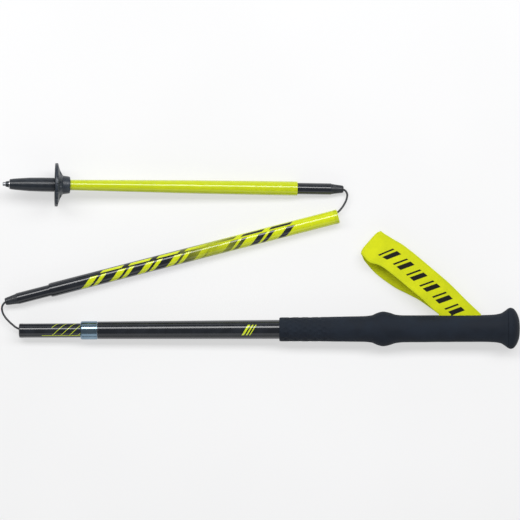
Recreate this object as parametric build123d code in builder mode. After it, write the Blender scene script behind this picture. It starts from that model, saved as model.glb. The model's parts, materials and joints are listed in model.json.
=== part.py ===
"""A folding three-section trekking pole, lying folded on a level surface.

Millimetres. +Z is up and the grip section lies along X with the grip at +X. Each section has
its own plane: its local x runs along the section's axis and its local z points up.
"""

from build123d import *
from math import cos, pi, radians, sin, tan
import os

os.makedirs("parts", exist_ok=True)

# ---- driving dimensions -------------------------------------------------------------------
TUBE_D = 14.2  # slider, middle tube and the wide end of the tip tube
TUBE_BORE_D = 12.6
SPIGOT_D = 11.4
SOCKET_D = 11.54  # the spigot slides into this
CORD_D = 2.1
CORD_HOLE_D = 2.8
UPPER_BORE_D = 15.2
UPPER_LOW_D = 17.6
UPPER_HIGH_D = 19.2
GUIDE_D = 15.1  # the slider's inner guide, a running fit in the upper tube
RUN_FIT = 0.05  # radial running clearance
CHAMFER = 0.3  # broken edge on turned pieces
LEAD_IN = 0.4  # radial step of a lead-in chamfer
CUT = 1.0  # how far a cutter runs past what it cuts

# grip section, measured along its axis from the mouth of the slider
GRIP_X, GRIP_Y = -243.0, -73.25
COLLAR_START, COLLAR_END = 61.6, 78.2
COLLAR_R = 9.25
COLLAR_LIP = 1.6
COLLAR_EDGE = 1.1  # size of its rounded nose
COLLAR_GAP = 0.4  # radial gap between its lip and the slider
FERRULE_START = 67.6
FERRULE_END = 96.0
FERRULE_SEAT_D = 16.0
THREAD_D = 16.8
COLLET_SPLIT = 1.2
UPPER_START, UPPER_END = 78.5, 411.0
UPPER_TAPER_END = 258.0
GRIP_START, CAP_START, GRIP_END = 260.2, 489.0, 500.6
SLIDER_END = 333.0
GUIDE_END = 343.0
STOP_END = 348.0
STOP_BORE_R = 4.0
PLUG_LENGTH = 15.0  # the part of the guide that is glued in the slider
CORE_START, CORE_END = 391.0, 486.0
SLOT_START, SLOT_END = 420.2, 461.2
SLOT_WIDTH, CORE_SLOT_WIDTH = 5.2, 8.0
SLOT_MIDDLE = (SLOT_START + SLOT_END) / 2
SLOT_LENGTH = SLOT_END - SLOT_START
SLOT_DEEP = 5.0  # how far the core's slot goes past the pin
SLOT_CUTTER = 24.0
STRAP_PIN_D = 3.2
PIN_IN = 4.0  # how far the pin goes into the core at each end
TAIL_GAP = 1.0  # from the strap's tail to the ends of its slot

# middle section, measured from the spigot end of its tube
MIDDLE_X, MIDDLE_Y, MIDDLE_Z = -211.9, -33.05, 7.25
MIDDLE_HEADING = 14.12
MIDDLE_LENGTH = 297.6

# tip section, measured from the point of the tip
TIP_X, TIP_Y = -258.1, 73.25
TIP_HEADING = -1.12
TIP_BODY_START, TIP_BODY_END = 6.9, 67.5
TIP_TUBE_START, TIP_TUBE_END = 32.0, 294.4
TIP_TUBE_THIN_R, TIP_TUBE_MIDDLE_R = 5.25, 6.7
TIP_TUBE_WALL = 0.9
TAPER_MIDDLE, TAPER_END = 190.0, 262.0
ANCHOR_START, ANCHOR_END = 50.0, 62.0
WASHER_START, WASHER_R = 6.2, 3.5
HOLDER_START, SHANK_R, SHANK_LENGTH = 3.0, 2.2, 14.0
POINT_STEM_END, POINT_STEM_R, POINT_R = 9.0, 1.6, 2.0
SEAT_START, SEAT_END = 40.0, 51.5
SEAT_R = 7.0
JOURNAL_R = 6.5  # the basket turns on this
BASKET_BORE_R = JOURNAL_R + RUN_FIT
BASKET_RIM_R = 21.65
BASKET_START = 52.2
WINDOWS, WINDOW_LENGTH, WINDOW_WIDTH, WINDOW_RING_R = 6, 7.0, 4.0, 14.0
NOTCHES, NOTCH_R = 18, 1.5

# joints between sections
SPIGOT_OUT = 34.0  # how far a spigot stands out of its tube, up to its nose
SPIGOT_IN = 28.0
NOSE_LENGTH = 12.3
NOSE_IN = 12.0
NOSE_END_R = 3.0
SPIGOT_BORE_R = 4.2
LINER_LENGTH = 38.0
MOUTH_RING = 4.2
RING_PROUD = 0.1  # the mouth ring stands this much outside its tube
RING_CHAMFER = 0.7
FLUTES, FLUTE_R = 6, 1.3
CRIMP_R, CRIMP_LENGTH = 2.1, 6.0
LOWER_NOSE_END = TIP_TUBE_END + SPIGOT_OUT + NOSE_LENGTH

# strap
STRAP_WIDTH = 30.0
STRAP_THICKNESS = 1.6
STRAP_HEADING = 138.5
STRAP_X = 440.7  # middle of its root, along the grip section
STRAP_OUT = 14.4  # its root, out from the grip section's axis
STRAP_REACH = 116.0  # from its root to the outside of its fold
FOLD_HEIGHT = 7.0
STRAP_FLOOR_GAP = 0.3

# ---- planes of the three sections ---------------------------------------------------------


def section_plane(x, y, z, heading, rise):
    """A plane whose x runs along a section that points to a heading and climbs by rise."""
    h, r = radians(heading), radians(rise)
    along = (cos(h) * cos(r), sin(h) * cos(r), sin(r))
    up = (-cos(h) * sin(r), -sin(h) * sin(r), cos(r))
    return Plane(origin=(x, y, z), x_dir=along, z_dir=up)


# the grip section rests on the lock collar and on the wide end of the grip
GRIP_CONTACT = 491.2
GRIP_CONTACT_R = 15.0
COLLAR_CONTACT = 63.8
GRIP_SLOPE = (GRIP_CONTACT_R - COLLAR_R) / (GRIP_CONTACT - COLLAR_CONTACT)
GRIP_RISE = 0.782
GRIP_Z = COLLAR_R - COLLAR_CONTACT * GRIP_SLOPE

# the tip section rests on the basket's rim and on the end of its spigot
BASKET_CONTACT = 53.5
SPIGOT_CONTACT = 327.7
TIP_SLOPE = (BASKET_RIM_R - SPIGOT_D / 2) / (SPIGOT_CONTACT - BASKET_CONTACT)
TIP_DIP = -3.33
TIP_Z = BASKET_RIM_R + BASKET_CONTACT * TIP_SLOPE

GRIP = section_plane(GRIP_X, GRIP_Y, GRIP_Z, 0, GRIP_RISE)
MIDDLE = section_plane(MIDDLE_X, MIDDLE_Y, MIDDLE_Z, MIDDLE_HEADING, 0)
TIP = section_plane(TIP_X, TIP_Y, TIP_Z, TIP_HEADING, TIP_DIP)


def axis_of(section):
    """The axis of a section."""
    return Axis(section.origin, section.x_dir)


def across(section, station):
    """The plane square to a section at a station: its x is the section's y, its y is up."""
    return Plane(
        origin=section.from_local_coords((station, 0, 0)), x_dir=section.y_dir, z_dir=section.x_dir
    )


def turned(section, outline, bores=()):
    """A solid turned about a section's axis from an outline of (station, radius) points.

    bores are (start, end, radius) holes along the same axis.
    """
    start, end = outline[0][0], outline[-1][0]
    with BuildPart() as piece:
        with BuildSketch(section):
            with BuildLine():
                Polyline(*outline, (end, 0), (start, 0), close=True)
            make_face()
        revolve(axis=axis_of(section))
        for bore_start, bore_end, radius in bores:
            with BuildSketch(across(section, bore_start)):
                Circle(radius)
            extrude(amount=bore_end - bore_start, mode=Mode.SUBTRACT)
    return piece


def save(piece, name):
    """Label a finished piece and write its STEP file."""
    piece.part.label = name
    export_step(piece.part, "parts/" + name + ".step")


# ---- grip section -------------------------------------------------------------------------


def make_upper_tube():
    """The fixed outer tube: a constant bore, a tapered outside and a seat for the ferrule."""
    outline = [
        (UPPER_START, UPPER_LOW_D / 2 - CHAMFER),
        (UPPER_START + 0.5, UPPER_LOW_D / 2),
        (UPPER_TAPER_END, UPPER_HIGH_D / 2),
        (UPPER_END, UPPER_HIGH_D / 2),
    ]
    bores = [
        (UPPER_START - CUT, UPPER_END + CUT, UPPER_BORE_D / 2),
        (UPPER_START - CUT, FERRULE_END, FERRULE_SEAT_D / 2),
    ]
    save(turned(GRIP, outline, bores), "upper_tube")


def make_lock():
    """The lock: a collar nut on a threaded ferrule that squeezes a split collet."""
    thread_end = UPPER_START - 0.5
    ferrule = [
        (FERRULE_START, THREAD_D / 2),
        (thread_end, THREAD_D / 2),
        (thread_end, FERRULE_SEAT_D / 2),
        (FERRULE_END, FERRULE_SEAT_D / 2),
    ]
    slider_hole = TUBE_D / 2 + RUN_FIT
    save(turned(GRIP, ferrule, [(FERRULE_START, FERRULE_END, slider_hole)]), "lock_ferrule")

    nut = [
        (COLLAR_START, COLLAR_R - COLLAR_EDGE),
        (COLLAR_START + 0.4, COLLAR_R - 0.5),
        (COLLAR_START + COLLAR_EDGE, COLLAR_R - 0.15),
        (COLLAR_START + 2 * COLLAR_EDGE, COLLAR_R),
        (COLLAR_END - CHAMFER, COLLAR_R),
        (COLLAR_END, COLLAR_R - CHAMFER),
    ]
    bores = [
        (COLLAR_START, COLLAR_END, TUBE_D / 2 + COLLAR_GAP),
        (COLLAR_START + COLLAR_LIP, COLLAR_END, THREAD_D / 2 + RUN_FIT),
    ]
    save(turned(GRIP, nut, bores), "lock_collar")

    start, end = COLLAR_START + COLLAR_LIP + 0.2, FERRULE_START - 0.1
    with BuildPart() as collet:
        with BuildSketch(across(GRIP, start)):
            Circle(THREAD_D / 2 - CHAMFER)
            Circle(TUBE_D / 2 + RUN_FIT, mode=Mode.SUBTRACT)
            with Locations((0, TUBE_D / 2)):
                Rectangle(COLLET_SPLIT, THREAD_D - TUBE_D, mode=Mode.SUBTRACT)
        extrude(amount=end - start)
    save(collet, "split_collet")


def make_slider_stop():
    """The ring inside the upper tube that the pushed-in slider stops against."""
    outline = [(GUIDE_END + 0.5, UPPER_BORE_D / 2), (STOP_END, UPPER_BORE_D / 2)]
    save(turned(GRIP, outline, [(GUIDE_END, STOP_END, STOP_BORE_R)]), "slider_stop_ring")


# station along the grip section, half width, half height
FOAM_SECTIONS = [
    (260.2, 11.4, 11.4),
    (262.5, 11.9, 11.7),
    (290.0, 12.1, 11.9),
    (320.0, 12.5, 12.2),
    (345.0, 12.9, 12.4),
    (353.0, 13.9, 12.6),
    (359.0, 16.4, 13.0),
    (364.0, 17.4, 13.1),
    (369.5, 16.6, 13.0),
    (376.0, 14.4, 12.5),
    (384.0, 13.5, 12.2),
    (420.0, 13.4, 12.2),
    (462.0, 13.4, 12.2),
    (476.0, 13.7, 12.4),
    (482.5, 14.9, 12.8),
    (486.5, 18.0, 13.9),
    (489.0, 20.0, 14.7),
]
CAP_SECTIONS = [
    (489.0, 20.0, 14.7),
    (491.2, 20.6, 15.0),
    (493.6, 20.2, 14.8),
    (496.4, 17.6, 13.0),
    (498.9, 12.0, 9.0),
    (500.6, 5.0, 4.0),
]


def make_grip():
    """The foam grip with its lower extension, and the firm cap on its end."""
    with BuildPart() as foam:
        for station, wide, high in FOAM_SECTIONS:
            with BuildSketch(across(GRIP, station)):
                Ellipse(wide, high)
        loft(ruled=True)
        with BuildSketch(across(GRIP, GRIP_START - CUT)):
            Circle(UPPER_HIGH_D / 2)
        extrude(amount=CORE_END - GRIP_START + CUT, mode=Mode.SUBTRACT)
        with BuildSketch(GRIP.offset(-SLOT_WIDTH / 2)):
            with Locations((SLOT_MIDDLE, SLOT_CUTTER / 2)):
                Rectangle(SLOT_LENGTH, SLOT_CUTTER)
        extrude(amount=SLOT_WIDTH, mode=Mode.SUBTRACT)
    save(foam, "foam_grip")

    with BuildPart() as cap:
        for station, wide, high in CAP_SECTIONS:
            with BuildSketch(across(GRIP, station)):
                Ellipse(wide, high)
        loft(ruled=True)
    save(cap, "grip_end_cap")


def make_strap_mount():
    """The moulded core inside the grip, the pin across its slot and the strap's tail on it."""
    outline = [
        (CORE_START, UPPER_BORE_D / 2 - LEAD_IN),
        (CORE_START + 0.6, UPPER_BORE_D / 2),
        (UPPER_END, UPPER_BORE_D / 2),
        (UPPER_END, UPPER_HIGH_D / 2),
        (CORE_END, UPPER_HIGH_D / 2),
    ]
    with BuildPart() as core:
        with BuildSketch(GRIP):
            with BuildLine():
                Polyline(*outline, (CORE_END, 0), (CORE_START, 0), close=True)
            make_face()
        revolve(axis=axis_of(GRIP))
        with BuildSketch(GRIP.offset(-CORE_SLOT_WIDTH / 2)):
            with Locations((SLOT_MIDDLE, SLOT_CUTTER / 2 - SLOT_DEEP)):
                Rectangle(SLOT_LENGTH, SLOT_CUTTER)
        extrude(amount=CORE_SLOT_WIDTH, mode=Mode.SUBTRACT)
        with BuildSketch(across(GRIP, SLOT_START - PIN_IN)):
            Circle(STRAP_PIN_D / 2)
        extrude(amount=SLOT_LENGTH + 2 * PIN_IN, mode=Mode.SUBTRACT)
    save(core, "grip_core")

    pin = [(SLOT_START - PIN_IN, STRAP_PIN_D / 2), (SLOT_END + PIN_IN, STRAP_PIN_D / 2)]
    save(turned(GRIP, pin), "strap_pin")

    tail_out = STRAP_OUT - TAIL_GAP
    with BuildPart() as tail:
        with BuildSketch(across(GRIP, SLOT_START + TAIL_GAP)):
            Circle(STRAP_PIN_D / 2 + STRAP_THICKNESS)
            with Locations((tail_out / 2, 0)):
                Rectangle(tail_out, 2 * STRAP_THICKNESS + 2 * RUN_FIT)
            Circle(STRAP_PIN_D / 2, mode=Mode.SUBTRACT)
        extrude(amount=SLOT_LENGTH - 2 * TAIL_GAP)
    save(tail, "strap_tail")


def make_strap_loop():
    """The wrist strap: one flat loop of webbing from its root beside the grip."""
    root = GRIP.from_local_coords((STRAP_X, STRAP_OUT, 0))
    h = radians(STRAP_HEADING)
    side = Plane(origin=(root.X, root.Y, 0), x_dir=(cos(h), sin(h), 0), z_dir=(sin(h), -cos(h), 0))
    low, high = root.Z - STRAP_THICKNESS, root.Z + STRAP_THICKNESS
    crown, droop = high + 1.5, high - 1.0
    floor = STRAP_FLOOR_GAP
    skin = STRAP_THICKNESS
    outer = [
        (-22, high),
        (20, high),
        (58, crown),
        (97, droop),
        (STRAP_REACH, FOLD_HEIGHT),
        (100, floor),
        (62, floor),
        (20, low),
        (-22, low),
    ]
    inner = [
        (26, root.Z),
        (58, crown - skin),
        (95.5, droop - skin),
        (STRAP_REACH - skin - 0.6, FOLD_HEIGHT),
        (99, floor + skin),
        (63, floor + skin),
    ]
    with BuildPart() as loop:
        with BuildSketch(side):
            with BuildLine():
                Polyline(*outer, close=True)
            make_face()
            with BuildLine():
                Polyline(*inner, close=True)
            make_face(mode=Mode.SUBTRACT)
        extrude(amount=STRAP_WIDTH / 2, both=True)
        # the root stops short of the side of the grip
        with BuildSketch(GRIP.offset(-STRAP_WIDTH)):
            with Locations((STRAP_X, STRAP_OUT - STRAP_REACH / 2)):
                Rectangle(2 * STRAP_REACH, STRAP_REACH)
        extrude(amount=2 * STRAP_WIDTH, mode=Mode.SUBTRACT)
    save(loop, "strap_loop")


# ---- sliding tube -------------------------------------------------------------------------


def make_socket(section, mouth, inward, name):
    """A socket liner with the ring that shows at a tube's mouth. inward is 1 or -1."""
    ring = mouth + inward * MOUTH_RING
    deep = mouth + inward * LINER_LENGTH
    ring_r = TUBE_D / 2 + RING_PROUD
    outline = [
        (mouth, ring_r - RING_CHAMFER),
        (mouth + inward * RING_CHAMFER, ring_r),
        (ring, ring_r),
        (ring, TUBE_BORE_D / 2),
        (deep, TUBE_BORE_D / 2),
    ]
    low, high = sorted((mouth, deep))
    save(turned(section, outline, [(low, high, SOCKET_D / 2)]), name)


def make_crimp(section, start, name):
    """The sleeve crimped on an end of the cord."""
    end = start + CRIMP_LENGTH
    save(turned(section, [(start, CRIMP_R), (end, CRIMP_R)], [(start, end, CORD_D / 2)]), name)


def make_slider():
    """The sliding tube, its socket, its inner guide plug and the crimp on the cord's end."""
    outline = [(MOUTH_RING, TUBE_D / 2), (SLIDER_END, TUBE_D / 2)]
    save(turned(GRIP, outline, [(0, SLIDER_END, TUBE_BORE_D / 2)]), "slider_tube")
    make_socket(GRIP, 0, 1, "slider_socket")

    plug_start = SLIDER_END - PLUG_LENGTH
    plug = [
        (plug_start, TUBE_BORE_D / 2 - LEAD_IN),
        (plug_start + 0.6, TUBE_BORE_D / 2),
        (SLIDER_END, TUBE_BORE_D / 2),
        (SLIDER_END, GUIDE_D / 2),
        (GUIDE_END, GUIDE_D / 2),
    ]
    save(turned(GRIP, plug, [(plug_start - CUT, GUIDE_END, CORD_HOLE_D / 2)]), "slider_guide")
    make_crimp(GRIP, GUIDE_END, "cord_crimp_upper")


# ---- spigots and noses --------------------------------------------------------------------


def make_spigot(section, end, outward, names):
    """A spigot glued in a tube's end and the fluted nose that guides it. outward is 1 or -1."""
    inner, shoulder = end - outward * SPIGOT_IN, end + outward * SPIGOT_OUT
    outline = [
        (inner, TUBE_BORE_D / 2),
        (end, TUBE_BORE_D / 2),
        (end, SPIGOT_D / 2),
        (shoulder - outward * LEAD_IN, SPIGOT_D / 2),
        (shoulder, SPIGOT_D / 2 - CHAMFER),
    ]
    low, high = sorted((inner, shoulder))
    save(turned(section, outline, [(low, high, SPIGOT_BORE_R)]), names[0])

    tip = shoulder + outward * NOSE_LENGTH
    root = shoulder - outward * NOSE_IN
    nose = [
        (root, SPIGOT_BORE_R),
        (shoulder, SPIGOT_BORE_R),
        (shoulder, SPIGOT_D / 2 - LEAD_IN),
        (shoulder + outward * 3.5, SPIGOT_D / 2 - 1.0),
        (tip - outward * 1.0, NOSE_END_R + 0.7),
        (tip, NOSE_END_R),
    ]
    low, high = sorted((root, tip))
    with BuildPart() as piece:
        with BuildSketch(section):
            with BuildLine():
                Polyline(*nose, (tip, 0), (root, 0), close=True)
            make_face()
        revolve(axis=axis_of(section))
        with BuildSketch(across(section, low)):
            Circle(CORD_HOLE_D / 2)
        extrude(amount=high - low, mode=Mode.SUBTRACT)
        flutes = sorted((shoulder + outward * 1.2, tip))
        with BuildSketch(across(section, flutes[0])):
            with PolarLocations(SPIGOT_D / 2 + 0.1, FLUTES):
                Circle(FLUTE_R)
        extrude(amount=flutes[1] - flutes[0], mode=Mode.SUBTRACT)
    save(piece, names[1])


# ---- middle section -----------------------------------------------------------------------


def make_middle():
    """The middle tube, its spigot towards the slider and its socket for the tip section."""
    tail = MIDDLE_LENGTH - MOUTH_RING
    outline = [(0, TUBE_D / 2 - LEAD_IN), (2, TUBE_D / 2), (tail, TUBE_D / 2)]
    save(turned(MIDDLE, outline, [(0, tail, TUBE_BORE_D / 2)]), "middle_tube")
    make_spigot(MIDDLE, 0, -1, ("middle_spigot", "middle_nose"))
    make_socket(MIDDLE, MIDDLE_LENGTH, -1, "middle_socket")


# ---- tip section --------------------------------------------------------------------------


def make_tip_tube():
    """The tapered tube, its spigot, and the plug and crimp that hold the cord's end."""
    thin_bore_r = TIP_TUBE_THIN_R - TIP_TUBE_WALL
    outline = [
        (TIP_TUBE_START, TIP_TUBE_THIN_R),
        (TIP_BODY_END, TIP_TUBE_THIN_R),
        (TAPER_MIDDLE, TIP_TUBE_MIDDLE_R),
        (TAPER_END, TUBE_D / 2 - 0.05),
        (TIP_TUBE_END, TUBE_D / 2),
    ]
    hollow = [
        (TIP_TUBE_START, thin_bore_r),
        (TIP_BODY_END, thin_bore_r),
        (TAPER_MIDDLE, TIP_TUBE_MIDDLE_R - TIP_TUBE_WALL),
        (TIP_TUBE_END - SPIGOT_IN, TUBE_BORE_D / 2),
        (TIP_TUBE_END, TUBE_BORE_D / 2),
    ]
    with BuildPart() as tube:
        with BuildSketch(TIP):
            with BuildLine():
                Polyline(*outline, *reversed(hollow), close=True)
            make_face()
        revolve(axis=axis_of(TIP))
    save(tube, "tip_tube")
    make_spigot(TIP, TIP_TUBE_END, 1, ("tip_spigot", "tip_nose"))

    plug = [(ANCHOR_START, thin_bore_r), (ANCHOR_END, thin_bore_r)]
    bores = [(ANCHOR_START, ANCHOR_END, CORD_HOLE_D / 2)]
    save(turned(TIP, plug, bores), "cord_anchor_plug")
    make_crimp(TIP, ANCHOR_START - CRIMP_LENGTH, "cord_crimp_lower")


def make_tip():
    """The tip body that the basket sits on, and the hard tip in its holder."""
    shank_end = TIP_BODY_START + SHANK_LENGTH
    body = [
        (TIP_BODY_START, 4.6),
        (TIP_BODY_START + 0.5, 5.0),
        (11.5, 5.6),
        (19.0, 6.2),
        (27.0, 6.75),
        (SEAT_START, SEAT_R),
        (SEAT_END, SEAT_R),
        (SEAT_END, JOURNAL_R),
        (TIP_BODY_END, JOURNAL_R),
    ]
    bores = [
        (TIP_BODY_START, shank_end, SHANK_R),
        (TIP_TUBE_START, TIP_BODY_END, TIP_TUBE_THIN_R),
    ]
    save(turned(TIP, body, bores), "tip_body")

    washer = [(WASHER_START, WASHER_R), (TIP_BODY_START, WASHER_R)]
    save(turned(TIP, washer, [(WASHER_START, TIP_BODY_START, SHANK_R)]), "tip_washer")

    holder = [
        (HOLDER_START, 2.5),
        (HOLDER_START + 0.4, 2.7),
        (WASHER_START, 3.3),
        (WASHER_START, SHANK_R),
        (shank_end, SHANK_R),
    ]
    stem_hole = (HOLDER_START, POINT_STEM_END, POINT_STEM_R)
    save(turned(TIP, holder, [stem_hole]), "tip_holder")

    # hollow-ground: its middle lies behind its cutting edge
    hollow_point = [
        (0.9, 0),
        (0, 1.3),
        (0.4, POINT_R),
        (HOLDER_START, POINT_R),
        (HOLDER_START, POINT_STEM_R),
        (POINT_STEM_END, POINT_STEM_R),
        (POINT_STEM_END, 0),
    ]
    with BuildPart() as point:
        with BuildSketch(TIP):
            with BuildLine():
                Polyline(*hollow_point, close=True)
            make_face()
        revolve(axis=axis_of(TIP))
    save(point, "hard_tip")


def make_basket():
    """The small basket: a hub, a steep cone with ribs and windows, and a notched rim."""
    hub_end = TIP_BODY_END - 0.3
    rim = BASKET_RIM_R
    outline = [
        (BASKET_START, rim - 2.2),
        (BASKET_START, rim - 0.3),
        (BASKET_START + 0.6, rim),
        (BASKET_START + 2.6, rim),
        (BASKET_START + 3.1, rim - 0.6),
        (BASKET_START + 3.6, 18.8),
        (BASKET_START + 5.2, 14.0),
        (BASKET_START + 8.0, 9.3),
        (BASKET_START + 12.0, 8.8),
        (hub_end - 0.6, 8.4),
        (hub_end, 7.9),
    ]
    inside = [
        (hub_end, BASKET_BORE_R),
        (BASKET_START + 5.6, BASKET_BORE_R),
        (BASKET_START + 3.2, 13.0),
        (BASKET_START + 1.8, 18.4),
    ]
    with BuildPart() as basket:
        with BuildSketch(TIP):
            with BuildLine():
                Polyline(*outline, *inside, close=True)
            make_face()
        revolve(axis=axis_of(TIP))
        with BuildSketch(across(TIP, BASKET_START - CUT)):
            with PolarLocations(WINDOW_RING_R, WINDOWS, start_angle=30):
                SlotOverall(WINDOW_LENGTH, WINDOW_WIDTH, rotation=90)
        extrude(amount=9, mode=Mode.SUBTRACT)
        with BuildSketch(across(TIP, BASKET_START + 1.3)):
            with PolarLocations(rim + 0.6, NOTCHES, start_angle=10):
                Circle(NOTCH_R)
        extrude(amount=2 * NOTCH_R, mode=Mode.SUBTRACT)
    save(basket, "basket")


# ---- cord ---------------------------------------------------------------------------------


GRIP_CORD_OFFSET = 1.7  # the cord lies against one side of each socket
MIDDLE_CORD_OFFSET = 2.2
GRIP_LINK_START = 12.0  # each free link starts this deep in the socket that it leaves
MIDDLE_LINK_START = 13.0
NOSE_LINK_OUT, NOSE_LINK_IN = 0.6, 4.4  # its last two points, about the end of a nose
ARC_SHARE = 0.45  # how much of a run each bend may take up


def cord_tube(points, name):
    """A cord's tube: straight runs joined by arcs as large as the runs allow."""
    points = [Vector(*p) for p in points]
    runs = [b - a for a, b in zip(points, points[1:])]
    radii = []
    for before, after in zip(runs, runs[1:]):
        half_turn = radians(before.get_angle(after)) / 2
        radii.append(ARC_SHARE * min(before.length, after.length) / tan(half_turn))
    with BuildPart() as cord:
        with BuildLine() as path:
            if radii:
                FilletPolyline(*points, radius=radii)
            else:
                Line(*points)
        with BuildSketch(Plane(origin=points[0], z_dir=runs[0])):
            Circle(CORD_D / 2)
        sweep()
    length = sum(edge.length for edge in path.edges())
    expected = pi * (CORD_D / 2) ** 2 * length
    print(name, "length", round(length, 2), "radii", [round(r, 1) for r in radii])
    print(name, "volume over section x length", round(cord.part.volume / expected, 4))
    save(cord, name)


def points_along(section, *places):
    """The points of a section at (station, offset) places, level with its axis."""
    return [section.from_local_coords((station, offset, 0)) for station, offset in places]


def make_cords():
    """The cord inside each section, and the two links that show between the sections."""
    nose = -SPIGOT_OUT - NOSE_LENGTH
    nose_in = nose + NOSE_LINK_IN
    grip_end = points_along(GRIP, (GRIP_LINK_START, GRIP_CORD_OFFSET), (5, GRIP_CORD_OFFSET))
    middle_start = points_along(MIDDLE, (nose - NOSE_LINK_OUT, 0), (nose_in, 0))
    # from the slider's mouth round to the middle section's nose
    free = [
        (-244.2, -71.7, 7.5),
        (-251.0, -66.3, 6.3),
        (-256.5, -60.7, 5.8),
        (-259.7, -55.3, 5.9),
        (-260.6, -49.8, 6.6),
    ]
    cord_tube([*grip_end, *free, *middle_start], "cord_link_lower")

    leave = MIDDLE_LENGTH - MIDDLE_LINK_START
    tip_in = LOWER_NOSE_END - NOSE_LINK_IN
    middle_end = points_along(MIDDLE, (leave, MIDDLE_CORD_OFFSET), (leave + 6, MIDDLE_CORD_OFFSET))
    tip_end = points_along(TIP, (LOWER_NOSE_END + NOSE_LINK_OUT, 0), (tip_in, 0))
    # from the middle section's socket round to the tip section's nose
    free = [
        (76.2, 43.4, 6.7),
        (79.9, 47.2, 5.7),
        (83.4, 52.4, 4.9),
        (85.7, 57.9, 4.6),
        (85.9, 62.9, 4.6),
    ]
    cord_tube([*middle_end, *free, *tip_end], "cord_link_upper")

    # inside the sections
    slider_run = [
        (GRIP_LINK_START, GRIP_CORD_OFFSET),
        (60, GRIP_CORD_OFFSET),
        (115, 0),
        (GUIDE_END + CRIMP_LENGTH, 0),
    ]
    cord_tube(points_along(GRIP, *slider_run), "cord_run_slider")
    middle_run = [(nose_in, 0), (180, 0), (235, MIDDLE_CORD_OFFSET), (leave, MIDDLE_CORD_OFFSET)]
    cord_tube(points_along(MIDDLE, *middle_run), "cord_run_middle")
    tip_run = [(ANCHOR_START - CRIMP_LENGTH, 0), (tip_in, 0)]
    cord_tube(points_along(TIP, *tip_run), "cord_run_tip")


make_upper_tube()
make_lock()
make_slider_stop()
make_grip()
make_strap_mount()
make_strap_loop()
make_slider()
make_middle()
make_tip_tube()
make_tip()
make_basket()
make_cords()
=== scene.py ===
"""The looks of a folding trekking pole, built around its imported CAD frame.

The frame is in metres. The prints, the grip and the strap are worked out in millimetres.
"""

import json
import math

import bpy
from mathutils import Matrix, Vector, noise


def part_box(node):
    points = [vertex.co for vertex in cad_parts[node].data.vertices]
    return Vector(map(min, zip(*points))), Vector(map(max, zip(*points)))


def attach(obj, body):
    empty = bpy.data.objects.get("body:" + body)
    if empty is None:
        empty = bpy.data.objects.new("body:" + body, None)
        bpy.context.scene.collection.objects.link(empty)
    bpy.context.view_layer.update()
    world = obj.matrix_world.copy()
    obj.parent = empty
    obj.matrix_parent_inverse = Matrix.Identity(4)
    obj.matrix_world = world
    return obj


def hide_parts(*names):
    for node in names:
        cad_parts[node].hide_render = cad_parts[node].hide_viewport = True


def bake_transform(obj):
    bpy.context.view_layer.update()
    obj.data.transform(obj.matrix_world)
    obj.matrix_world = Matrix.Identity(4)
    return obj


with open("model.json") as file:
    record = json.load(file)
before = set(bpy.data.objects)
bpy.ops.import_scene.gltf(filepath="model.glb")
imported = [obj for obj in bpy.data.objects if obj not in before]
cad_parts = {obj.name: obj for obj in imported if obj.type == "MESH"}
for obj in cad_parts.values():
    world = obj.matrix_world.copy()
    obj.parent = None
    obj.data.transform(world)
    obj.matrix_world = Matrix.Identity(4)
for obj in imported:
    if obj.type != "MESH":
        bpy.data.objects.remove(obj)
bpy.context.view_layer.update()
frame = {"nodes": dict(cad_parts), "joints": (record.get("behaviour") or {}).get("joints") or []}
JOINTS = {j["name"]: j for j in frame["joints"]}
MM = 0.001

# ---- driving dimensions -------------------------------------------------------------------
COLLAR_STATION = 70 * MM  # where the collar's joint sits, along the grip section
BASKET_STATION = 60 * MM  # where the basket's joint sits, along the tip section
MIDDLE_HEADING = math.radians(14.12)
MIDDLE_TUBE_LENGTH = 293.4 * MM
TUBE_R = 7.1 * MM
UPPER_TUBE_R = 9.3 * MM
CORD_D = 2.1 * MM

# ---- sections: matrices from (station, side, up) to the frame ------------------------------


def section(origin, along):
    """A matrix whose x runs along a section, whose y is level and whose z points up."""
    along = Vector(along).normalized()
    side = Vector((0, 0, 1)).cross(along).normalized()
    up = along.cross(side)
    matrix = Matrix((along, side, up)).transposed().to_4x4()
    matrix.translation = origin
    return matrix


def section_of_joint(name, station):
    """The section whose axis is a joint's axis, with the joint at a station."""
    along = Vector(JOINTS[name]["axis"]).normalized()
    return section(Vector(JOINTS[name]["pos_m"]) - station * along, along)


def middle_section():
    """The middle section lies level, and its tube's box gives its place."""
    low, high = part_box("middle_tube")
    along = Vector((math.cos(MIDDLE_HEADING), math.sin(MIDDLE_HEADING), 0))
    return section((low + high) / 2 - along * MIDDLE_TUBE_LENGTH / 2, along)


GRIP = section_of_joint("collar_twist", COLLAR_STATION)
TIP = section_of_joint("basket_turn", BASKET_STATION)
MIDDLE = middle_section()

# ---- camera -------------------------------------------------------------------------------
VIEW_CENTRE = Vector((-1.8, -3.8, 8)) * MM
VIEW_WIDTH = 0.52
VIEW_ROLL = math.radians(-0.28)
LENS, SENSOR = 400, 36  # millimetres
NEAR_CLIP, FAR_CLIP = 0.1, 20


def make_camera():
    """A long lens straight above the pole."""
    data = bpy.data.cameras.new("camera")
    data.lens, data.sensor_width = LENS, SENSOR
    data.clip_start, data.clip_end = NEAR_CLIP, FAR_CLIP
    camera = bpy.data.objects.new("camera", data)
    bpy.context.scene.collection.objects.link(camera)
    camera.location = VIEW_CENTRE + Vector((0, 0, VIEW_WIDTH * LENS / SENSOR))
    camera.rotation_euler = (0, 0, VIEW_ROLL)
    bpy.context.scene.camera = camera


make_camera()

# ---- material graphs ----------------------------------------------------------------------
MIX_FACTOR, MIX_A, MIX_B, MIX_RESULT = 0, 6, 7, 2  # a colour mix node's sockets
COAT_ROUGHNESS = 0.08


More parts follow.
